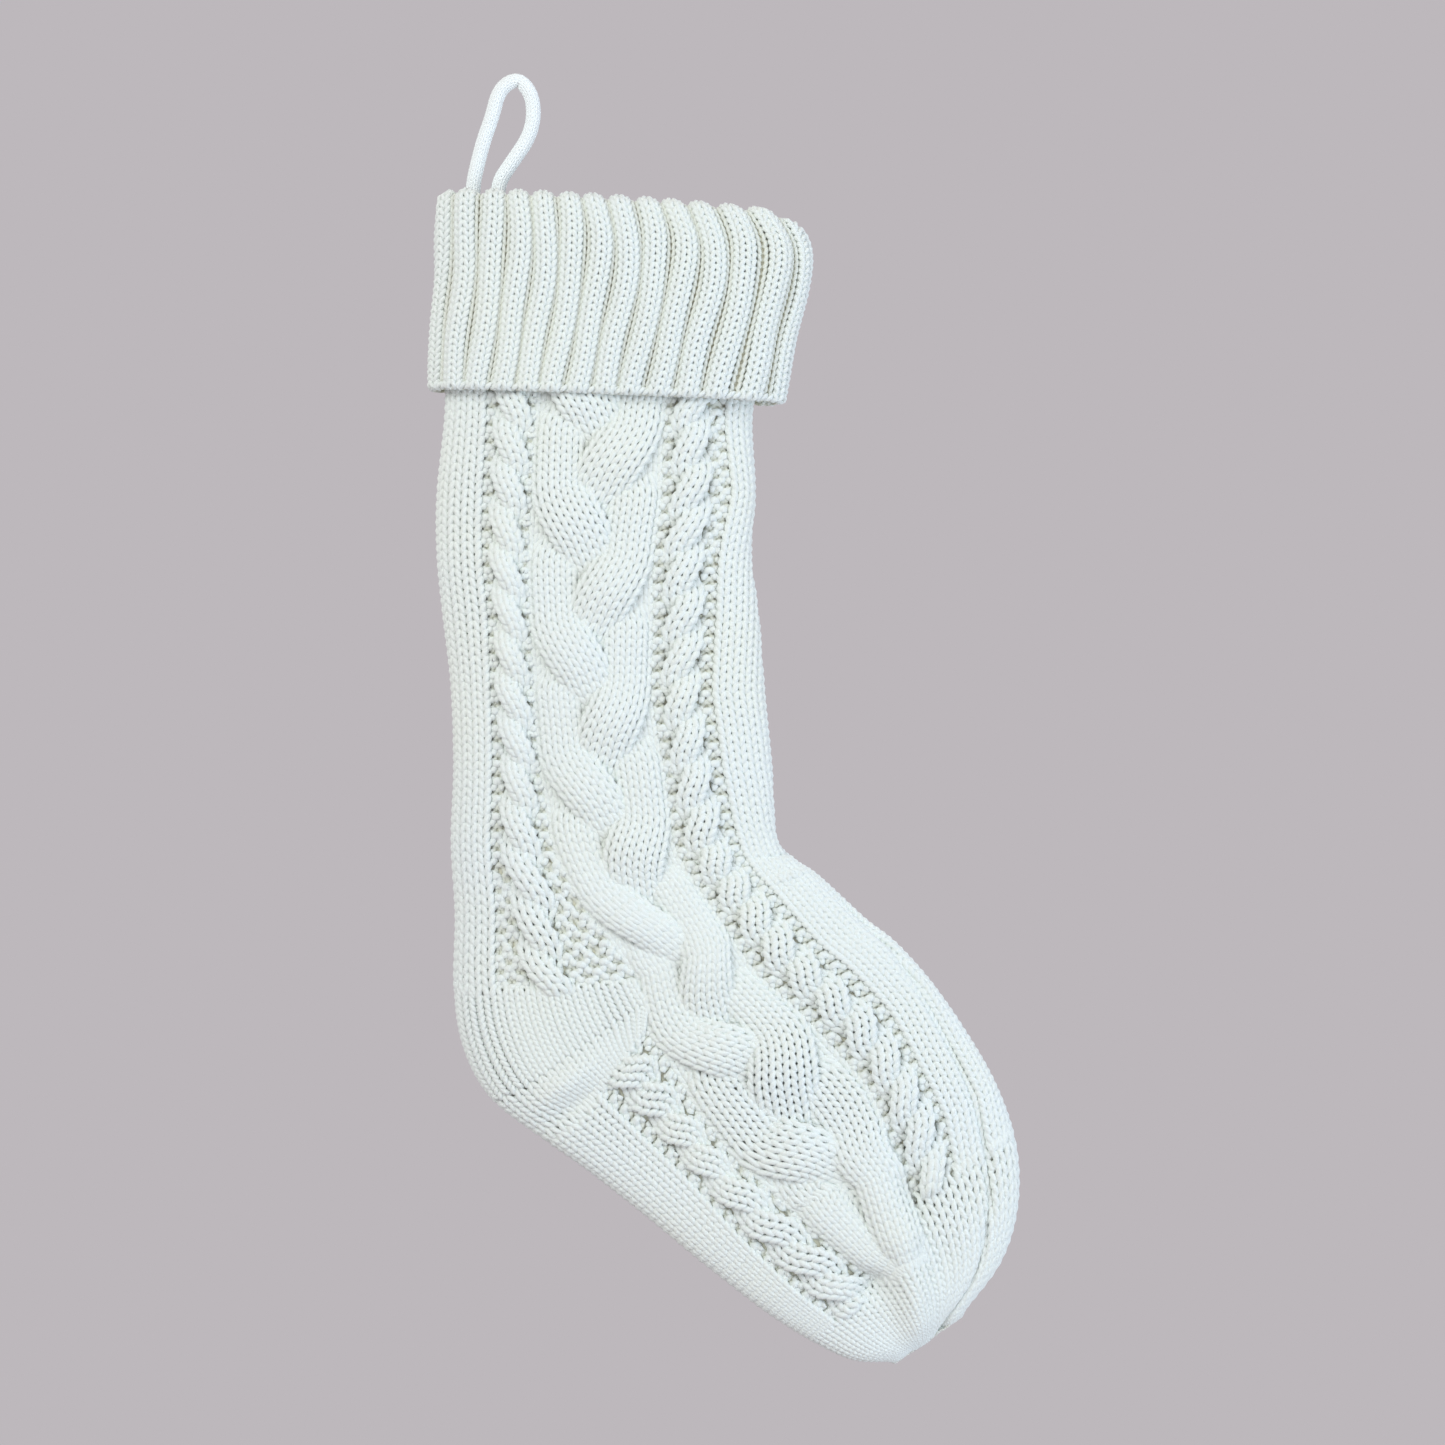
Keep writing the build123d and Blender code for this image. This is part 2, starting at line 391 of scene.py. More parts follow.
def noise(tree, place, scale, detail):
    inputs = {"Vector": place, "Scale": scale, "Detail": detail}
    return node(tree, "ShaderNodeTexNoise", inputs).outputs["Fac"]


def maths(tree, operation, *values):
    return node(tree, "ShaderNodeMath", enumerate(values), operation=operation).outputs["Value"]


def mixed(tree, share, first, second):
    """A colour between two, which are the inputs 6 and 7 of a mix of colours."""
    return node(tree, "ShaderNodeMix", {0: share, 6: first, 7: second}, data_type="RGBA").outputs[2]


def map_range(tree, value, limits):
    return node(tree, "ShaderNodeMapRange", {"Value": value, **limits}).outputs["Result"]


def wool(name, bright, cool, shade_colour, ply=0.35, ply_pitch=1.3):
    """Soft wool yarn: cream colour with painted shade in the gaps, fine ply twist and fuzz."""
    material = bpy.data.materials.new(name)
    material.use_nodes = True
    tree = material.node_tree
    place = node(tree, "ShaderNodeTexCoord").outputs["Object"]
    fuzz = noise(tree, place, FUZZ_SCALE, 4.0)
    height = maths(tree, "MULTIPLY_ADD", ply_height(tree, ply_pitch), ply, fuzz)
    bump = node(tree, "ShaderNodeBump", {**BUMP, "Height": height})
    shader = tree.nodes["Principled BSDF"]
    for socket, value in WOOL_SURFACE.items():
        shader.inputs[socket].default_value = value
    tree.links.new(wool_colour(tree, place, fuzz, bright, cool, shade_colour), shader.inputs["Base Color"])
    tree.links.new(bump.outputs["Normal"], shader.inputs["Normal"])
    return material


def wool_colour(tree, place, fuzz, bright, cool, shade_colour):
    """Clouds of two close colours, darkened towards the painted shade colour where the painted shading
    value is low, with fine specks.
    """
    clouds = mixed(tree, noise(tree, place, CLOUD_SCALE, 3.0), (*bright, 1), (*cool, 1))
    painted_shading = node(tree, "ShaderNodeAttribute", attribute_name="painted_shading").outputs["Fac"]
    shaded = mixed(tree, map_range(tree, painted_shading, SHADING_RANGE), (*shade_colour, 1), clouds)
    inputs = {0: shaded, "Scale": map_range(tree, fuzz, SPECK_RANGE)}
    return node(tree, "ShaderNodeVectorMath", inputs, operation="SCALE").outputs["Vector"]


def ply_height(tree, pitch):
    """Twisted plies, from the length along the yarn and the turn round it."""
    uv = node(tree, "ShaderNodeUVMap", uv_map="yarn").outputs["UV"]
    run, turn, _ = node(tree, "ShaderNodeSeparateXYZ", {"Vector": uv}).outputs
    along = maths(tree, "MULTIPLY", run, 2 * math.pi / pitch)
    return maths(tree, "SINE", maths(tree, "MULTIPLY_ADD", turn, 2 * math.pi * PLIES, along))


# Each wool's third colour is its painted shade colour, for gaps, grooves and sunken loops.
WOOL = wool("ivory_wool", (0.82, 0.855, 0.79), (0.80, 0.86, 0.86), (0.62, 0.61, 0.47))
LOOP_WOOL = wool("loop_wool", (0.90, 0.93, 0.92), (0.88, 0.94, 0.95), (0.72, 0.75, 0.72), 0.2, 0.9)
# Ground sheet behind the stitches: a darker beige, painted shade for the gaps between stitches.
SHADE_GROUND = wool("painted_shade_ground", (0.74, 0.745, 0.64), (0.72, 0.745, 0.66), (0.70, 0.69, 0.57), 0.0)
THREAD = wool("sewing_thread", (0.76, 0.77, 0.68), (0.74, 0.76, 0.70), (0.6, 0.6, 0.5), 0.3, 0.8)

# ---- loops of yarn

LOOP_STEPS = 12
LOOP_DEPTH = 0.8
# Painted shading value of a loop at its middle height
LOOP_SHADING = 0.62
LOOP_SHADE = 0.16  # painted shading: a loop is painted lighter by this for each millimetre that it stands out, and darker where it sinks
# Painted shade in the seam's groove, at its deepest
GROOVE_SHADE = 0.3
rng = np.random.default_rng(20251224)


def knit_course(wales, pitch, rise, lean=0.21, face=1.0, depth=LOOP_DEPTH):
    """One yarn's course of loops: place across in wales, place along the rows, and height."""
    phase = np.linspace(0, 2 * math.pi * wales, wales * LOOP_STEPS + 1)
    across = phase / (2 * math.pi) + lean * np.sin(2 * phase)
    return across, -pitch * rise / 2 * np.cos(phase), -face * depth * np.cos(2 * phase)


def smooth(x):
    """0 before -0.5 and 1 after 0.5, with soft ends."""
    x = np.clip(x + 0.5, 0, 1)
    return x * x * (3 - 2 * x)


def bell(x, width):
    return np.exp(-((x / width) ** 2))


def uneven(rows, along, amount):
    """Places down the rows of every course's points, moved by a little at random."""
    return rows[:, None] - along + rng.normal(0, amount, (len(rows), along.size))


def add_piece(yarn, name, material=WOOL):
    obj = yarn.object(name, material)
    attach(obj, "stocking")
    return obj


# ---- hanging loop

CORD_DIAMETER = 5.7
HINGE_Z = -34.5
LOOP_ROUTE = [
    (-16.3, 4.4, -72),
    (-16.3, 4.4, -54),
    (-16.3, 0.3, -44),
    (-16.3, 0, HINGE_Z),
    (-14.6, 0, -27),
    (-12.2, 0, -17.5),
    (-8.9, 0, -8.6),
    (-6.2, 0, 2.4),
    (0.9, 0, 7),
    (6.6, 0, 0.9),
    (7.6, 0, -8.5),
    (5.2, 0, -17),
    (-0.8, 0, -25.6),
    (-6.8, 0, HINGE_Z),
    (-6.2, 0.3, -44),
    (-5.2, 6.3, -54),
    (-5.2, 6.3, -72),
]
TACK_HEIGHTS = (-61.5, -65.5, -69.5)
TACK_YARN = 0.4
TACK_REACH = CORD_DIAMETER / 2 + 0.45
CORD_WALES = 8
CORD_PITCH = 1.75
CORD_YARN = 0.55
CORD_CORE = 2.1
CORD_LOOPS_AT = 2.3  # the loops' centres lie this far from the centreline
CREASE_BACK = 1.4  # the crease inside the loop's top lies this far past its highest point


def loop_path():
    """Points of the loop's centreline, read from its curve."""
    curve = bpy.data.curves.new("loop_centreline", "CURVE")
    curve.dimensions = "3D"
    curve.resolution_u = 24
    centreline = curve.splines.new("NURBS")
    centreline.points.add(len(LOOP_ROUTE) - 1)
    for point, place in zip(centreline.points, LOOP_ROUTE):
        point.co = (*(MM * value for value in place), 1)
    centreline.order_u = 3
    centreline.use_endpoint_u = True
    holder = bpy.data.objects.new("loop_centreline", curve)
    mesh = bpy.data.meshes.new_from_object(holder)
    points = np.array([vertex.co for vertex in mesh.vertices], float)
    bpy.data.objects.remove(holder)
    return points


def framed(points, lengths):
    """Points at these lengths along a line, with two directions square to it."""
    run = np.concatenate([[0], np.linalg.norm(np.diff(points, axis=0), axis=1).cumsum()])
    step = 0.4
    behind, spots, ahead = (
        np.stack([np.interp(lengths + ahead_by, run, points[:, axis]) for axis in range(3)], -1)
        for ahead_by in (-step, 0, step)
    )
    tangent = unit(ahead - behind)
    side = unit(np.cross(tangent, [0.0, -1.0, 0.0]))
    return spots, side, np.cross(side, tangent)


def knitted_cord(points):
    """A thin tube of small loops round a core."""
    yarn = Yarn()
    total = np.linalg.norm(np.diff(points, axis=0), axis=1).sum()
    core, side, _ = framed(points, np.linspace(0, total, 160))
    yarn.add(core[None], side[None], CORD_CORE, 0.5)
    across, along, out = knit_course(CORD_WALES, CORD_PITCH, 1.7, depth=0.13)
    rows = np.arange(0.9, total - 0.6, CORD_PITCH)
    lengths = np.clip(rows[:, None] - along, 0, total)
    spots, side, up = framed(points, lengths)
    turn = across / CORD_WALES * 2 * math.pi
    outward = side * np.cos(turn)[:, None] + up * np.sin(turn)[:, None]
    top = np.linspace(0, total, len(points))[points[:, 2].argmax()] + CREASE_BACK
    crease = 1.3 * bell(lengths - top, 1.0) * np.clip(-outward[..., 2], 0, 1)
    centres = spots + outward * (CORD_LOOPS_AT + out - crease)[..., None]
    # Painted shading: loops are lighter where they stand out, with painted shade in the crease inside the
    # loop's top.
    yarn.add(centres, outward, CORD_YARN, 0.72 + 0.4 * out - 0.5 * crease)
    return yarn


def make_loop():
    path = loop_path()
    thread = tack_stitches()
    cord = knitted_cord(path / MM).object("knitted_loop", LOOP_WOOL)
    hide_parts("hanging_loop", "loop_tails")
    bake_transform(cord)


def tack_stitches():
    """Sewing yarn wound twice round each tail at each height."""
    yarn = Yarn()
    angle = np.linspace(0, 4 * math.pi, 49)
    ring = np.stack([np.cos(angle), np.sin(angle), np.zeros(angle.size)], -1)
    climb = np.linspace(-TACK_YARN, TACK_YARN, angle.size)[:, None] * [0, 0, 1]
    for x, y, _ in (LOOP_ROUTE[0], LOOP_ROUTE[-1]):
        for height in TACK_HEIGHTS:
            centres = np.array([x, y, height]) + ring * TACK_REACH + climb
            yarn.add(centres[None], ring[None], TACK_YARN, 0.6)
    thread = add_piece(yarn, "tack_thread", THREAD)
    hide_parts("loop_tack_stitches")
    return thread


make_loop()

# ---- knitting

ROW_PITCH = 3.42

# Boundaries of the pattern's columns, as fractions of the width, at these section indices
LINE_NAMES = ("plain_1", "rope_1_left", "rope_1_right", "braid_left",
              "braid_right", "rope_2_left", "rope_2_right", "plain_2")
LINES = {
    2.76: (0.125, 0.16, 0.275, 0.29, 0.72, 0.75, 0.863, 0.915),
    4: (0.138, 0.172, 0.276, 0.297, 0.712, 0.748, 0.865, 0.935),
    6: (0.14, 0.17, 0.258, 0.277, 0.672, 0.712, 0.83, 0.875),
    7: (0.118, 0.143, 0.242, 0.257, 0.637, 0.68, 0.792, 0.84),
    8: (0.108, 0.148, 0.245, 0.262, 0.66, 0.69, 0.8, 0.848),
    9: (0.11, 0.15, 0.26, 0.305, 0.682, 0.72, 0.84, 0.885),
    10: (0.112, 0.172, 0.285, 0.36, 0.7, 0.735, 0.845, 0.88),
    11: (0.11, 0.19, 0.295, 0.43, 0.715, 0.745, 0.85, 0.885),
    12: (0.11, 0.205, 0.31, 0.465, 0.72, 0.75, 0.85, 0.885),
    13: (0.23, 0.26, 0.39, 0.417, 0.714, 0.745, 0.848, 0.882),
    14: (0.195, 0.23, 0.355, 0.38, 0.707, 0.735, 0.84, 0.88),
    15: (0.165, 0.2, 0.3, 0.316, 0.7, 0.73, 0.842, 0.875),
    16: (0.15, 0.175, 0.27, 0.285, 0.7, 0.725, 0.823, 0.85),
    17: (0.13, 0.155, 0.285, 0.3, 0.65, 0.68, 0.8, 0.83),
    18: (0.12, 0.15, 0.31, 0.335, 0.61, 0.64, 0.74, 0.77),
    19: (0.12, 0.15, 0.335, 0.36, 0.59, 0.62, 0.72, 0.75),
}
RING_LINES = {name: ring_of(values) for name, values in zip(LINE_NAMES, zip(*LINES.values()))}
HEEL_SIDE, TOE_SIDE = LINE_NAMES[:4], LINE_NAMES[3:]
FRONT_BAND = 40.0  # plain fabric round the front edge, from the front face to the back face


def line(name, face=1):
    """Ring coordinate of a boundary line on one face, as a function of the section index."""
    def on_front(t, name=name):
        return np.interp(t, list(LINES), RING_LINES[name])

    def on_back(t):
        turned = 2 - 2 * on_front(t, "plain_2") - FRONT_BAND / leg.arc(t)
        own = on_front(t)
        return own + turned * np.clip((own - 0.25) / 0.6, 0, 1)

    return on_front if face > 0 else on_back


# How far the seam lies behind the front edge, in millimetres, by section index
SEAM_OFFSET = ([9, 10, 12, 14, 15, 16, 17, 18, 19, 20, 21], [0, 0, 3, 7, 10, 12.5, 15, 16.5, 17, 15, 10])
GROOVE_WIDTH, GROOVE_DEPTH = 1.7, 2.0


def seam_line(t):
    """Ring coordinate of the seam: the front edge of the leg, then over the front face of the foot."""
    return 1 - np.interp(t, *SEAM_OFFSET) / leg.arc(t)


def groove(q, t):
    """0 to 1: how deep in the seam's groove a point lies."""
    return bell((q - seam_line(t)) * leg.arc(t), GROOVE_WIDTH)


SECTION_STEP = 20.0  # usual distance from section to section
# Soft folds: place across, section index, reach across and along in millimetres, lean, height
FOLDS = [
    (0.16, 13.45, 16, 4.5, 0.25, 2.6),
    (0.12, 14, 14, 3, 0.2, -1.8),
    (0.50, 17.5, 12, 26, 0, 1.4),
    (0.612, 17.75, 3.6, 8, 0, -3.4),
    (0.33, 18.6, 5.5, 7, 0, -4),
    (0.63, 18.9, 7, 12, 0, -1.6),
    (0.97, 9.6, 9, 2.2, 0, -1.2),
    (0.95, 10.6, 9, 2.6, 0, 1),
]
# The ridge in which the braid's first strand ends on the toe: section index, place across, height
RIDGE_AT = [17.8, 18.7, 19.5, 20.2, 21.1]
RIDGE_ACROSS = [0.53, 0.48, 0.445, 0.42, 0.39]
RIDGE_HEIGHT = [0, 3.6, 4, 3, 0]
RIDGE_WIDTH = 7.0


def toe_ridge(q, t):
    ring = ring_of(np.interp(t, RIDGE_AT, RIDGE_ACROSS))
    return np.interp(t, RIDGE_AT, RIDGE_HEIGHT) * bell((q - ring) * leg.arc(t), RIDGE_WIDTH)


def relief(q, t):
    """Soft unevenness of the whole fabric and its folds, in millimetres."""
    h = 0.30 * np.sin(5 * q * math.pi + 0.9 * t) + 0.24 * np.sin(1.7 * t - 3 * q * math.pi)
    for across, at, wide, tall, lean, height in FOLDS:
        x = (q - ring_of(across)) * leg.arc(t)
        y = (t - at) * SECTION_STEP
        h = h + height * bell(x, wide) * bell(y + lean * x, tall)
    return h + toe_ridge(q, t) - GROOVE_DEPTH * groove(q, t)


def pressed(t):
    """How far the pattern stands up: less where the cuff lies over it, and at the toe."""
    return (0.25 + 0.75 * smooth((t - 2.75) / 0.5)) * (1 - smooth((t - 18.75) / 0.5))


class Column:
    """One column of the pattern between two boundary lines, on the front face or mirrored on the back.

    row_t(x, s, column) is the section index of a place x across the column and s down its rows.
    """

    def __init__(self, left, right, row_t, face=1):
        self.left, self.right, self.row_t, self.face = left, right, row_t, face

    def across(self, x, t):
        """Ring coordinate x of the way across, from -1 to 1."""
        return (self.left(t) * (1 - x) + self.right(t) * (1 + x)) / 2

    def place(self, x, s, h):
        """x: -1 to 1 across the column, s: millimetres down the rows, h: height."""
        t = self.row_t(x, s, self)
        q = self.across(x, t)
        q = q if self.face > 0 else 2 - q
        return *leg.point(q, t, h + relief(q, t)), groove(q, t)

    def half_width(self, t):
        return (self.right(t) - self.left(t)) / 2 * leg.arc(t)


def columns_between(names, row_t, face, line_face=1):
    lines = [line(name, line_face) for name in names]
    return [Column(left, right, row_t, face) for left, right in zip(lines, lines[1:])]


# Lengths down the leg and foot at which rows start or end
START = leg.length_at(2.35)
HEM = leg.length_at(2.76)
HEEL_ROW = leg.length_at(12.05)
TOE_ROW = leg.length_at(17.85)
BRAID_END = leg.length_at(18.7)

# How far level rows lie above fanned ones at the back edge, in sections, by section index
ROW_RISE = ([9, 10, 11, 12, 12.7], [0, 0.27, 0.68, 1.02, 1.3])


def fanned_rows(x, s, column):
    return leg.t_at(s)


def level_rows(x, s, column):
    """Rows of the heel side stay level, so they drop behind the fanned rows as the ankle turns."""
    t = leg.t_at(s)
    share = 1 - np.clip(np.abs(column.across(x, t)) / line("braid_left")(t), 0, 1)
    return t - np.interp(t, *ROW_RISE) * share


# Where the foot's pattern starts below the heel and stops at the toe, by ring coordinate
HEEL_TOP = (ring_of([0, 0.11, 0.225, 0.34, 0.455]), [11.02, 11.27, 11.53, 11.79, 12.08])
HEEL_MITRE = (ring_of([0, 0.10, 0.21, 0.33, 0.455]), [13.3, 13.2, 13, 12.8, 12.6])
HEEL_END = (ring_of([0, 0.10, 0.20, 0.30, 0.405]), [14.4, 14.3, 14, 13.6, 13.1])
HEEL_CURVES = (HEEL_TOP, HEEL_MITRE, HEEL_END)
TOE_LINE = (ring_of([0, 0.2, 0.36, 0.55, 0.62, 1]), [18.95, 18.8, 18.7, 18.5, 17.85, 17.7])
TOE_END = 21.7
SOLE_ROWS = 40
SOLE_COURSES = np.arange(0.4, SOLE_ROWS + 0.3, 1.0)


def foot_rows(x, s, column):
    """Rows below the heel: along the heel's last row at first, and along the toe's first row at the end."""
    first, last = 13.5, 18.6  # guesses, which the loop brings to where the two lines cross this column
    for _ in range(4):
        first = np.interp(np.abs(column.across(x, first)), *HEEL_END)
        last = np.interp(np.abs(column.across(x, last)), *TOE_LINE)
    return first + (last - first) * s / SOLE_ROWS


def foot_row_t(rows):
    """Rough section index of the rows below the heel."""
    return 13.6 + 5.0 * rows / SOLE_ROWS


# Radii of the yarn, in millimetres
PLAIN_YARN, BRAID_YARN, ROPE_YARN, FOOT_ROPE_YARN, BEAD_YARN = 1.32, 1.25, 1.38, 1.35, 1.4
BEAD_WIDTH = 4.6
BEAD_STANDS = 0.6  # a bead is this much higher than the bumps round it


def plain(yarn, column, wales, rows, h=0.0, painted_shading=LOOP_SHADING, pitch=ROW_PITCH):
    """Rows of plain loops, with painted shade where they sink and in the seam's groove."""
    across, along, out = knit_course(wales, pitch, 1.68)
    s = uneven(rows, along, 0.008 * pitch)
    centres, normals, dark = column.place(across / wales * 2 - 1, s, h + out)
    yarn.add(centres, normals, PLAIN_YARN, painted_shading + LOOP_SHADE * out - GROOVE_SHADE * dark)


def beads(yarn, column, rows, at=leg.t_at, pitch=ROW_PITCH):
    """Sunken purl bumps, one or more across, of which every second one stands out as a bead. The sunken
    bumps carry painted shade and the beads are painted lighter.
    """
    widths = 2 * column.half_width(at(rows))
    counts = np.maximum(1, np.round(widths / BEAD_WIDTH)).astype(int)
    for wales in np.unique(counts):
        across, along, out = knit_course(wales, pitch, 0.85, 0.05, -1.0, 0.5)
        number = np.flatnonzero(counts == wales)[:, None]
        wale = np.minimum(np.floor(across), wales - 1)
        bead = np.cos(math.pi * (wale + number)) * np.sin(math.pi * (across - wale)).clip(0) ** 0.5
        s = uneven(rows[counts == wales], along, 0.03 * pitch)
        centres, normals, _ = column.place(across / wales * 2 - 1, s, out - 1.1 + BEAD_STANDS * bead)
        yarn.add(centres, normals, BEAD_YARN + 0.16 * bead, 0.38 + 0.16 * bead + 0.1 * out)


ROWS_FOLLOW = 0.85  # share of a strand's slope that its rows turn by
BRAID_LIFT = 0.9


def cable(yarn, column, rows, centre, lift, half_width, wales, dome_height, radius):
    """Rows of a strand that wanders across its column, with its middle, height and half width along it."""
    across, along, out = knit_course(wales, ROW_PITCH, 1.62)
    s = uneven(rows, along, 0.025)
    place = across / wales * 2 - 1
    offset = place * half_width(s)
    slope = centre(s + 0.5) - centre(s - 0.5)
    turn = np.arctan(slope * ROWS_FOLLOW)
    square_s = s - offset * np.sin(turn)
    t = leg.t_at(square_s)
    x = (centre(s) + offset * np.cos(turn)) / column.half_width(t)
    height = (lift(s) - dome_height * np.abs(place) ** 3) * pressed(t) + out
    centres, normals, _ = column.place(x, square_s, height)
    # Painted shade: strands that pass under are painted darker, lifted ones lighter, and each strand's
    # sides darker.
    lift_shading = 0.09 * np.minimum(lift(s) - BRAID_LIFT, 0.3)
    yarn.add(centres, normals, radius, 0.70 + LOOP_SHADE * out - 0.24 * np.abs(place) ** 3 + lift_shading)


BRAID_PERIOD = 51.3
BRAID_TURN = 32.0
BRAID_START = 25.0  # the first crossing lies this far below the hem
STRAND_REACH, STRAND_HALF = 0.57, 0.445  # shares of the column's half width
# How far the left crossings fall behind on the foot, in millimetres, by section index
BRAID_LAG = ([11, 14, 16.5, 18.5], [0, 11, 14, 30])


def braid_slot(u):
    """Where a strand lies, 2 right to 0 left, this far after it starts over from the right."""
    p, d = BRAID_PERIOD, BRAID_TURN
    to_left = smooth(u / d) + smooth((u - p / 2) / d)
    return 2 - to_left + smooth((u - 1.5 * p) / d) + smooth((u - 2 * p) / d)


def braid_lift(u):
    over = bell(u, 11.0) + bell(u - 1.5 * BRAID_PERIOD, 11.0)
    under = bell(u - BRAID_PERIOD / 2, 10.5) + bell(u - 2 * BRAID_PERIOD, 10.5)
    return BRAID_LIFT + 3.2 * over - 2.6 * under


# Heights of the three strands where the braid ends, and the first one's path across its column there
TOE_LIFTS = (3.6, 2.2, -0.8)
TOE_PATH = ([16.3, 17.2, 18.5, 19.2], [0.62, 0.57, 0.17, 0.0])


def braid_strand(column, rows, number):
    """One of three strands of five wales that cross in turn, right over and left over."""
    yarn = Yarn()

    def even(s):
        start = s - HEM - BRAID_START + (number + 0.5) * BRAID_PERIOD
        return np.mod(start, 3 * BRAID_PERIOD) - BRAID_PERIOD / 2

    def since(s):
        lag = np.interp(leg.t_at(s), *BRAID_LAG)
        lag = np.where(even(s) < BRAID_PERIOD, np.minimum(lag, 6.0), lag)
        return even(s - lag * (2 - braid_slot(even(s))) / 2)

    def centre(s):
        t = leg.t_at(s)
        own = (braid_slot(since(s)) - 1) * STRAND_REACH
        if number == 0:
            share = smooth((t - 16.8) / 0.8)
            own = own * (1 - share) + np.interp(t, *TOE_PATH) * share
        return own * column.half_width(t)

    def lift(s):
        t = leg.t_at(s)
        near_toe = smooth((t - 17.0) / 0.8)
        kept = TOE_LIFTS[number] * (1 - smooth((t - 18.4) / 0.6))
        return braid_lift(since(s)) * (1 - near_toe) + kept * near_toe

    def half_width(s):
        t = leg.t_at(s)
        spread = 1 + 0.4 * smooth((t - 17.7) / 1.0) * (number == 0)
        return STRAND_HALF * column.half_width(t) * spread

    cable(yarn, column, rows, centre, lift, half_width, 5, 2.8, BRAID_YARN)
    return yarn


def braid_edges(yarn, column, rows):
    """Plain wales behind both edges of the braid, and behind all of it where its strands part, painted
    darker for the shade behind the strands.
    """
    def boundary(share):
        return lambda t: column.left(t) * (1 - share) + column.right(t) * share

    for near, far in ((0.0, 0.16), (0.84, 1.0)):
        strip = Column(boundary(near), boundary(far), column.row_t, column.face)
        plain(yarn, strip, 2, rows, -1.5, 0.45)
    toe_rows = np.arange(leg.length_at(16.6), leg.length_at(18.8), ROW_PITCH)
    plain(yarn, column, 8, toe_rows, -1.2, 0.5)


ROPE_PERIOD = 16.5
ROPE_HALF_WIDTH = 7.6
FOOT_ROPE_PERIOD = ROPE_PERIOD / ROW_PITCH  # in rows


def rope(yarn, column, rows, twist):
    """Two strands of two wales that twist about each other."""
    def reach(s):
        return np.minimum(column.half_width(leg.t_at(s)), ROPE_HALF_WIDTH)

    def half_width(s):
        return 0.72 * reach(s)

    for strand in (-1, 1):
        def centre(s):
            return 0.43 * strand * reach(s) * np.cos(math.pi * s / ROPE_PERIOD)

        def lift(s):
            return 0.6 - 2.1 * twist * strand * np.sin(math.pi * s / ROPE_PERIOD)

        cable(yarn, column, rows, centre, lift, half_width, 2, 1.7, ROPE_YARN)


def unbroken_side(face):
    """Braid, beads, rope and beads of one face, which run from the cuff to the toe without a break."""
    rows = np.arange(START, TOE_ROW, ROW_PITCH)
    braid, left_beads, twist, right_beads = columns_between(TOE_SIDE, fanned_rows, face, face)
    braid_rows = np.arange(START, BRAID_END, ROW_PITCH)
    strands = [braid_strand(braid, braid_rows, number) for number in range(3)]
    side = Yarn()
    braid_edges(side, braid, rows)
    beads(side, left_beads, rows)
    rope(side, twist, rows, -1)
    beads(side, right_beads, rows)
    return strands, side


def front_edge_band():
    yarn = Yarn()
    left = line("plain_2")
    column = Column(left, lambda t: left(t) + FRONT_BAND / leg.arc(t), fanned_rows)
    plain(yarn, column, 8, np.arange(START, TOE_ROW, ROW_PITCH))
    return yarn


def back_band(row_t, wales, rows, pitch=ROW_PITCH):
    """Plain band round the back edge of the leg, or round the sole."""
    yarn = Yarn()
    right = line("plain_1")
    plain(yarn, Column(lambda t: -right(t), right, row_t), wales, rows, pitch=pitch)
    return yarn


def heel_side_leg(face):
    """Beads, rope and beads between the back edge and the braid, down to the heel, on one face."""
    yarn = Yarn()
    rows = np.arange(START, HEEL_ROW, ROW_PITCH)
    left_beads, twist, right_beads = columns_between(HEEL_SIDE, level_rows, face)
    beads(yarn, left_beads, rows)
    rope(yarn, twist, rows, 1)
    beads(yarn, right_beads, rows)
    return yarn


def heel_side_foot(face):
    """The same columns again below the heel."""
    yarn = Yarn()
    left_beads, twist, right_beads = columns_between(HEEL_SIDE, foot_rows, face)
    beads(yarn, left_beads, SOLE_COURSES, foot_row_t, 1.0)
    foot_rope(yarn, twist, SOLE_COURSES)
    beads(yarn, right_beads, SOLE_COURSES, foot_row_t, 1.0)
    return yarn


def foot_rope(yarn, column, rows):
    """The rope below the heel, whose rows are counted and not measured."""
    across, along, out = knit_course(2, 1.0, 1.7)
    s = uneven(rows, along, 0.015)
    place = across - 1
    turn = math.pi * s / FOOT_ROPE_PERIOD
    for strand in (-1, 1):
        lean = -strand * 0.40 * np.sin(turn) * math.pi / FOOT_ROPE_PERIOD
        x = strand * 0.40 * np.cos(turn) + place * 0.66 * (1 - 0.3 * lean**2)
        square_s = s - place * lean * 1.1
        height = 0.3 - 1.7 * strand * np.sin(turn) - 0.9 * np.abs(place) ** 2.4 + out
        centres, normals, _ = column.place(x, square_s, height)
        # Painted shade along each strand's sides.
        yarn.add(centres, normals, FOOT_ROPE_YARN, 0.72 + LOOP_SHADE * out - 0.22 * np.abs(place) ** 3)


HEEL_WALES = 16
HEEL_PITCH = 2.45
HEEL_LOWER_ROWS = 7
HEEL_YARN, HEEL_LOWER_YARN = 1.15, 1.18


def heel_curve(curve, share):
    """Ring coordinate and section index at a share of the way from the back edge along a curve."""
    return np.moveaxis(spline(np.transpose(curve), share * (len(curve[0]) - 1)), -1, 0)


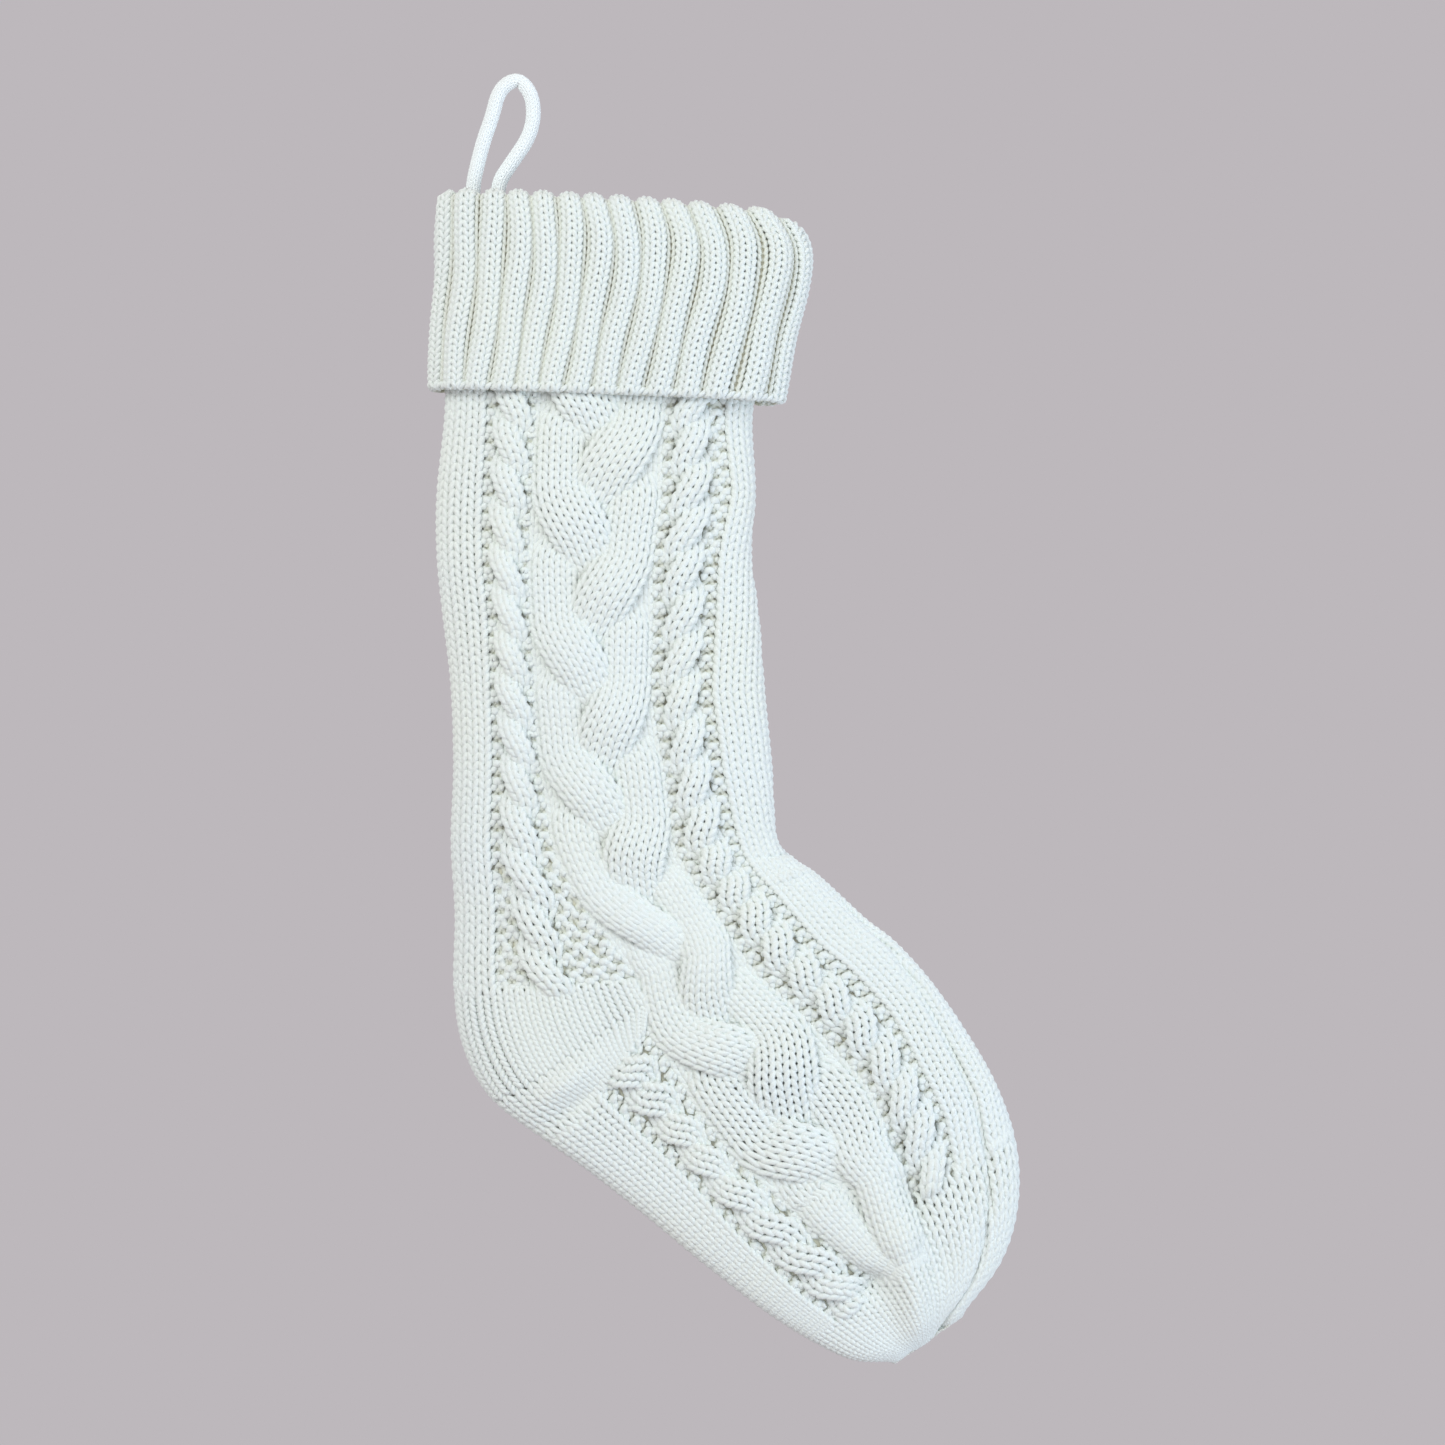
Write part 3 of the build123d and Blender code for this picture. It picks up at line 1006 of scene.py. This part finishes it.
def heel_place(u, v, h):
    """u: -1 to 1 from back face to front face. v: millimetres down a wale, which bends at the mitre."""
    u, v = np.broadcast_arrays(u, v)
    share = np.abs(u)
    top, mitre, end = (heel_curve(curve, share) for curve in HEEL_CURVES)
    upper, lower = heel_lengths(share)
    first = np.minimum(v / np.maximum(upper, 0.1), 1)
    second = np.maximum(v - upper, 0) / lower
    q, t = top + (mitre - top) * first + (end - mitre) * second
    q = q * np.where(u < 0, -1, 1)
    return leg.point(q, t, h + relief(q, t))


def heel_lengths(share):
    """Length of a wale above the mitre and below it."""
    points = np.array([leg.base(*heel_curve(curve, share)) for curve in HEEL_CURVES])
    return np.linalg.norm(np.diff(points, axis=0), axis=-1)


def heel():
    """A turned heel: level rows that shorten to the mitre, then rows that follow the foot."""
    yarn = Yarn()
    rail = np.linspace(0, 1, 200)
    upper = heel_lengths(rail)[0]
    for v in np.arange(0.8, upper.max(), HEEL_PITCH):
        reach = int(HEEL_WALES * rail[upper > v].max())
        if reach:
            across, along, out = knit_course(2 * reach, HEEL_PITCH, 1.9)
            place = heel_place((across - reach) / HEEL_WALES, uneven(np.array([v]), along, 0.04), out)
            yarn.add(*place, HEEL_YARN, LOOP_SHADING + LOOP_SHADE * out)
    across, along, out = knit_course(2 * HEEL_WALES, 1.0, 1.9)
    u = (across - HEEL_WALES) / HEEL_WALES
    upper, lower = heel_lengths(np.abs(u))
    steps = np.arange(0.3, HEEL_LOWER_ROWS)[:, None]
    place = heel_place(u, upper + (steps - along) * lower / HEEL_LOWER_ROWS, out)
    yarn.add(*place, HEEL_LOWER_YARN, LOOP_SHADING + LOOP_SHADE * out)
    return yarn


TOE_WALES = 44
TOE_ROWS = 19


def toe():
    """Plain rows that close on the toe seam."""
    yarn = Yarn()
    across, along, out = knit_course(TOE_WALES, 1.0, 1.75)
    q = across / TOE_WALES * 2
    share = uneven(np.arange(TOE_ROWS) + 0.1, along, 0.015) / TOE_ROWS
    t = np.interp(face_ring(q), *TOE_LINE) * (1 - share) + TOE_END * share
    centres, normals = leg.point(q, t, out * (1 - 0.4 * share) + relief(q, t))
    radius = 1.25 - 0.45 * np.clip(share, 0, 1) ** 2
    yarn.add(centres, normals, radius, LOOP_SHADING + LOOP_SHADE * out - GROOVE_SHADE * groove(q, t))
    return yarn


TOE_SEAM_AT = 21.6
SEAM_YARN = 0.42


def whip_stitches(place, start, end, pitch, reach):
    """Sewing yarn that zigzags over a seam. place(along, sideways, h) gives points and normals."""
    yarn = Yarn()
    along = np.arange(start, end, pitch / 8)
    phase = math.pi * along / pitch
    centres, normals = place(along, reach * np.cos(phase), 0.35 * np.abs(np.sin(phase)))
    yarn.add(centres[None], normals[None], SEAM_YARN, 0.5)
    return yarn


def on_front_seam(along, sideways, h):
    t = leg.t_at(along)
    q = seam_line(t) + sideways / leg.arc(t)
    return leg.point(q, t, h - 0.4 + relief(q, t))


def on_toe_seam(along, sideways, h):
    return leg.point(along / leg.arc(TOE_SEAM_AT), TOE_SEAM_AT + 0.02 + sideways / SECTION_STEP, h + 0.6)


def stocking_sheet():
    """The fabric's ground behind the stitches, one closed layer from the mouth to the toe, in a darker
    colour that paints the shade seen in the gaps between stitches.
    """
    q, t = np.meshgrid(np.linspace(0, 2, 200, endpoint=False), np.linspace(1.0, 22.0, 230))
    room = np.maximum(spline(leg.table, t)[..., 4] / 2 - YARN_INSET, MIN_HALF)
    soft = relief(q, t)
    outer = leg.point(q, t, soft - np.minimum(1.7, 0.45 * room))[0]
    inner = leg.point(q, t, soft * 0.8 - np.minimum(2.9, 0.8 * room))[0]
    return fabric_shell("stocking_fabric", outer, inner, SHADE_GROUND)


# ---- cuff

CUFF_RIBS = 28
CUFF_PITCH = 2.8
CUFF_ARC = cuff.arc(2.0)  # length of one face, half way down
FOLD_RADIUS = 3.0
FOLD_AT = 0.28  # section index from which the cuff bends over
CUFF_END = 4.0
INSIDE_DEPTH = 26.0
RIB_RADIUS = 6.0
RIB_HALF = 4.3  # from a rib's middle to its side, round its curve
RIB_PITCH = 2 / CUFF_RIBS * CUFF_ARC
RIB_YARN, VALLEY_YARN, HEM_YARN = 1.04, 0.88, 0.95
RIB_LEAN = 0.028  # at the hem, by ring coordinate
# How far the ribs are shifted round the cuff from even spacing, by ring coordinate
RIB_SHIFT = (
    [0, 0.22, 0.43, 0.65, 0.8, 0.93, 1.1, 1.5, 2],
    [0, 0.004, -0.013, -0.022, -0.02, 0.002, 0.02, 0.01, 0],
)
# The first rib of each of the cuff's pieces
CUFF_PIECES = {"front_heel_side": 0, "front_toe_side": 8, "back_toe_side": 14, "back_heel_side": 23}
CUFF_OUTSIDE = cuff.length_at(CUFF_END) - cuff.length_at(FOLD_AT)
CUFF_FOLD = math.pi * FOLD_RADIUS
CUFF_TOTAL = CUFF_OUTSIDE + CUFF_FOLD + INSIDE_DEPTH


def cuff_place(q, v, h):
    """v: millimetres from the hem up the outside, over the fold and down the inside."""
    q, v, h = np.broadcast_arrays(q, v, h)
    on_fold = np.clip((v - CUFF_OUTSIDE) / FOLD_RADIUS, 0, math.pi)
    inside = np.maximum(v - CUFF_OUTSIDE - CUFF_FOLD, 0)
    length = np.where(inside > 0, cuff.length_at(FOLD_AT) + inside, cuff.length_at(CUFF_END) - v)
    t = np.clip(cuff.t_at(length), FOLD_AT, CUFF_END)
    # The fold lies lower at the cuff's two side edges
    fold = FOLD_AT + 0.5 * bell(q - 1, 0.05) + 0.14 * bell(np.mod(q + 1, 2) - 1, 0.04)
    t = CUFF_END - (CUFF_END - t) * (CUFF_END - fold) / (CUFF_END - FOLD_AT)
    wave = 0.5 * np.sin(3 * math.pi * q + 0.06 * v) + 0.35 * np.sin(0.11 * v - 4 * math.pi * q)
    edge, normal = cuff.point(q, t, wave)
    up = cuff.base(q, t - 0.05) - cuff.base(q, t + 0.05)
    up = unit(up - normal * (up * normal).sum(-1, keepdims=True))
    facing = normal * np.cos(on_fold)[..., None] + up * np.sin(on_fold)[..., None]
    return edge - normal * FOLD_RADIUS + facing * (FOLD_RADIUS + h)[..., None], facing


def rib_ring(rib, v):
    """Ring coordinate of a rib's middle: upright at the top, leaning to the back edge lower down."""
    q = (rib + 0.5) * 2 / CUFF_RIBS + 0.0036
    q += np.interp(q, *RIB_SHIFT)
    side = math.sin(math.pi * q)
    lean = RIB_LEAN * math.copysign(abs(side) ** 0.4, side)
    down = np.clip(1 - v / CUFF_OUTSIDE, 0, 1)
    return q - lean * down**1.3 + 0.003 * np.sin(0.13 * v + 2.1 * rib)


def rib_pitch(first, last, v):
    """Millimetres from rib to rib between two of them."""
    return (rib_ring(last, v) - rib_ring(first, v)) * CUFF_ARC / (last - first)


def rib_spread(pitch):
    """How much wider than usual a rib is. The valleys take the other half of a change in pitch."""
    return 0.5 + 0.5 * pitch / RIB_PITCH


def rib(yarn, number, rows):
    """Two wales of loops over a round rib."""
    across, along, out = knit_course(2, CUFF_PITCH, 1.6, 0.25, depth=0.85)
    v = uneven(rows, -along, 0.015)
    angle = (across - 1) * RIB_HALF / RIB_RADIUS
    spread = rib_spread(rib_pitch(number - 1, number + 1, v))
    q = rib_ring(number, v) + spread * RIB_RADIUS * np.sin(angle) / CUFF_ARC
    middle = bell(across - 1, 0.12)
    height = 0.5 + RIB_RADIUS * (np.cos(angle) - 1) + out - 0.6 * middle
    centres, normals = cuff_place(q, v, height)
    # Painted shade: darker at the rib's sides and along the dip between its two wales, lighter where loops
    # stand out.
    painted_shading = LOOP_SHADING + 0.26 * out - 0.2 * np.abs(across - 1) ** 3 - 0.15 * middle
    yarn.add(centres, normals, RIB_YARN, painted_shading)


def valley(yarn, number, rows):
    """One narrow sunken wale between two ribs, painted dark for the shade in it."""
    across, along, out = knit_course(1, CUFF_PITCH, 1.5, 0.16)
    v = uneven(rows, -along, 0.025)
    middle = (rib_ring(number, v) + rib_ring(number + 1, v)) / 2
    pitch = rib_pitch(number, number + 1, v)
    width = pitch - 0.67 * RIB_PITCH * rib_spread(pitch)
    q = middle + (across - 0.5) * width / CUFF_ARC
    centres, normals = cuff_place(q, v, -1.4 + 0.7 * out)
    yarn.add(centres, normals, VALLEY_YARN, 0.2 + 0.14 * out)


def cuff_ribs(first, last):
    yarn = Yarn()
    rows = np.arange(1.6, CUFF_TOTAL, CUFF_PITCH)
    for number in range(first, last):
        rib(yarn, number, rows)
        valley(yarn, number, rows)
    return yarn


def cuff_sheet():
    """The fabric's ground behind the ribs, from the hem over the fold to the inner edge, in the darker
    painted shade colour of the gaps.
    """
    q, v = np.meshgrid(np.linspace(0, 2, 300, endpoint=False), np.linspace(0.6, CUFF_TOTAL, 130))
    outer, inner = (cuff_place(q, v, h)[0][::-1] for h in (-1.9, -2.6))
    return fabric_shell("cuff_fabric", outer, inner, SHADE_GROUND)


def on_cuff_seam(along, sideways, h):
    return cuff_place(1.0 + sideways / CUFF_ARC, along, h - 0.2)


def hem_edge():
    """Bound-off edge: two plies wound round the hem."""
    yarn = Yarn()
    turns = 2 * CUFF_RIBS
    phase = np.linspace(0, 2 * math.pi * turns, turns * 14)
    q = np.broadcast_to(phase / (math.pi * turns), (2, phase.size))
    wind = phase + np.array([[0], [math.pi]])
    centres, normals = cuff_place(q, 1.0 + 0.75 * np.sin(wind), -0.9 + 0.9 * np.cos(wind))
    yarn.add(centres, normals, HEM_YARN, 0.6)
    return yarn


# ---- putting the pieces on the stocking


def knit_stocking():
    seam = whip_stitches(on_front_seam, START, leg.length_at(21.3), 3.2, 1.0)
    closing = whip_stitches(on_toe_seam, 0.0, 2 * leg.arc(TOE_SEAM_AT), 2.6, 1.1)
    pieces = [
        add_piece(seam, "front_seam_stitches", THREAD),
        add_piece(closing, "toe_seam_stitches", THREAD),
    ]
    for face, side in ((1, "front"), (-1, "back")):
        strands, right = unbroken_side(face)
        for place, strand in zip(("first", "second", "third"), strands):
            pieces.append(add_piece(strand, f"braid_{side}_{place}_strand"))
        pieces.append(add_piece(right, f"front_rope_{side}"))
        pieces.append(add_piece(heel_side_leg(face), f"heel_side_rope_{side}"))
        pieces.append(add_piece(heel_side_foot(face), f"sole_side_rope_{side}"))
    plain_pieces = {
        "front_edge_wales": front_edge_band(),
        "back_edge_wales": back_band(level_rows, 8, np.arange(START, HEEL_ROW, ROW_PITCH)),
        "sole_wales": back_band(foot_rows, 12, SOLE_COURSES, 1.0),
        "heel_turn": heel(),
        "toe_wales": toe(),
    }
    pieces += [add_piece(yarn, name) for name, yarn in plain_pieces.items()]
    sheet = stocking_sheet()
    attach(sheet, "stocking")
    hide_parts("leg_tube", "heel_pocket", "foot_tube", "toe_cap", "front_seam", "toe_seam")


def knit_cuff():
    for (name, first), last in zip(CUFF_PIECES.items(), [*CUFF_PIECES.values(), CUFF_RIBS][1:]):
        add_piece(cuff_ribs(first, last), f"cuff_ribs_{name}")
    add_piece(hem_edge(), "cuff_bound_edge")
    seam = whip_stitches(on_cuff_seam, 2.0, CUFF_OUTSIDE, 3.0, 1.0)
    add_piece(seam, "cuff_seam_stitches", THREAD)
    sheet = cuff_sheet()
    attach(sheet, "stocking")
    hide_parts("cuff_turn_down", "cuff_hem", "cuff_inner_layer", "cuff_seam")


knit_stocking()
knit_cuff()

# ---- studio

BACKDROP = (0.509, 0.479, 0.503, 1)
FLOOR_HALF, FLOOR_HEIGHT = 9.0, -0.95
AIM = (0.08, 0.0, -0.25)
# Place, size, power and colour
LIGHTS = {
    "key": ((-0.8, -1.4, 0.7), 1.1, 18.5, (0.93, 0.975, 0.93)),
    "fill": ((1.3, -1.1, -0.5), 1.2, 11.5, (0.76, 0.88, 1.0)),
    "side": ((1.5, -0.45, -0.45), 0.8, 5, (0.55, 0.78, 1.0)),
    "back": ((0.3, 1.6, 0.6), 1.0, 14, (0.87, 0.98, 1.0)),
}


def surroundings():
    world = bpy.data.worlds.new("studio")
    bpy.context.scene.world = world
    world.use_nodes = True
    background = world.node_tree.nodes["Background"]
    background.inputs["Color"].default_value = BACKDROP
    background.inputs["Strength"].default_value = 1.0


def make_floor():
    """A plain floor that looks the same as the background."""
    material = bpy.data.materials.new("pale_floor")
    material.use_nodes = True
    tree = material.node_tree
    tree.nodes.clear()
    glow = node(tree, "ShaderNodeEmission", {"Color": BACKDROP})
    node(tree, "ShaderNodeOutputMaterial", {"Surface": glow.outputs["Emission"]})
    mesh = bpy.data.meshes.new("floor")
    half = FLOOR_HALF
    corners = ((-half, -half), (half, -half), (half, half), (-half, half))
    mesh.from_pydata([(x, y, FLOOR_HEIGHT) for x, y in corners], [], [range(4)])
    mesh.materials.append(material)
    floor = bpy.data.objects.new("floor", mesh)
    bpy.context.scene.collection.objects.link(floor)


def area_light(name, place, size, power, colour):
    data = bpy.data.lights.new(name, "AREA")
    data.size, data.energy, data.color = size, power, colour
    light = bpy.data.objects.new(name, data)
    bpy.context.scene.collection.objects.link(light)
    light.location = place
    light.rotation_euler = (Vector(AIM) - Vector(place)).to_track_quat("-Z", "Y").to_euler()


surroundings()
make_floor()
for light_name, light_values in LIGHTS.items():
    area_light(light_name, *light_values)
bpy.context.scene.view_settings.view_transform = "Standard"
